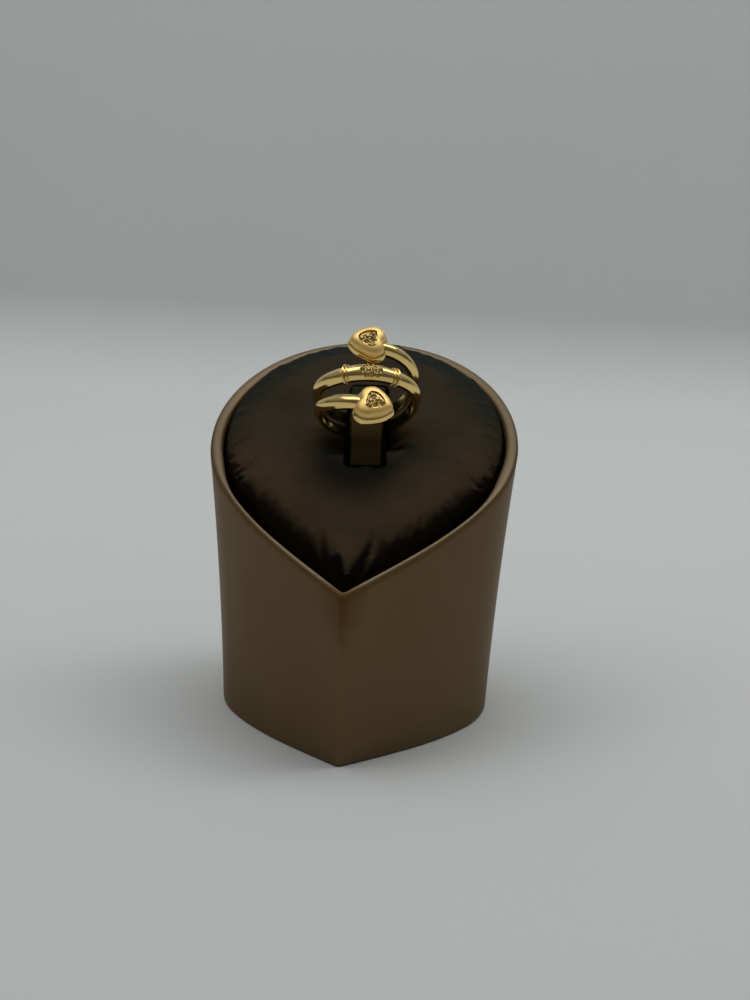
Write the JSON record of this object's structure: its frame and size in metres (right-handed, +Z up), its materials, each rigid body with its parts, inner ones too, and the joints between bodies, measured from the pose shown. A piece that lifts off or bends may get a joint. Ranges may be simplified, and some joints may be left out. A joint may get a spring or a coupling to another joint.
{
  "type": "gold wrap ring on a display stand",
  "caption": "Open wrap ring with a pave heart at each end and a pave bar between collars, seated on a slanted drop-shaped display stand with a padded top and tab.",
  "frame": {"origin": "middle of the footprint, on the surface that the stand's base rests on", "axes": "+Z up; the stand's front edge points along -Y and its round back along +Y"},
  "size_m": [0.0594, 0.07, 0.0756],
  "materials": {
    "gold": "polished yellow gold, satin on the hearts",
    "stone": "clear brilliant-cut stone",
    "leatherette": "smooth taupe leatherette with a pearl sheen",
    "satin_pad": "dark brown satin over foam",
    "satin_tab": "dark brown satin over a stiff tongue"
  },
  "bodies": {
    "root": {"ring": "gold", "stand_column": "leatherette", "stand_pad": "satin_pad", "stand_tab": "satin_tab", "far_heart_stone_1": "stone", "far_heart_stone_2": "stone", "far_heart_stone_3": "stone", "far_heart_stone_4": "stone", "far_heart_stone_5": "stone", "far_heart_stone_6": "stone", "near_heart_stone_1": "stone", "near_heart_stone_2": "stone", "near_heart_stone_3": "stone", "near_heart_stone_4": "stone", "near_heart_stone_5": "stone", "near_heart_stone_6": "stone", "bar_stone_1": "stone", "bar_stone_2": "stone", "bar_stone_3": "stone", "bar_stone_4": "stone", "bar_stone_5": "stone", "bar_stone_6": "stone", "bar_stone_7": "stone", "bar_stone_8": "stone", "bar_stone_9": "stone", "bar_stone_10": "stone"}
  },
  "joints": []
}
